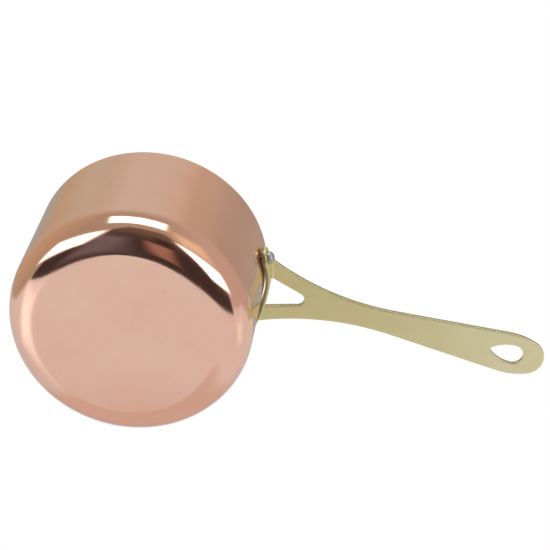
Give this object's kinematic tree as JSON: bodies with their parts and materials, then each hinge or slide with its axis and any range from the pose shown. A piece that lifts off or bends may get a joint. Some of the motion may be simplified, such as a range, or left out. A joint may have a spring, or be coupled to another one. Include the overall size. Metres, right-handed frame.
{
  "type": "saucepan",
  "caption": "Small straight-sided copper saucepan with a rounded base edge, a bright metal lining and a long flat brass handle riveted to the wall below the rim",
  "frame": {"origin": "centre of the flat base, on the surface the pan stands on", "axes": "+Z is the pan's axis from base to rim, +X points from the pan along the handle, +Y completes a right-handed frame"},
  "size_m": [0.2044, 0.09, 0.0662],
  "materials": {
    "copper": null,
    "lining": "bright brushed metal",
    "brass": "satin polished brass",
    "rivet": "plain domed steel"
  },
  "bodies": {
    "root": {"copper_body": "copper", "inner_lining": "lining", "brass_handle": "brass", "rivet_left": "rivet", "rivet_right": "rivet"}
  },
  "joints": []
}
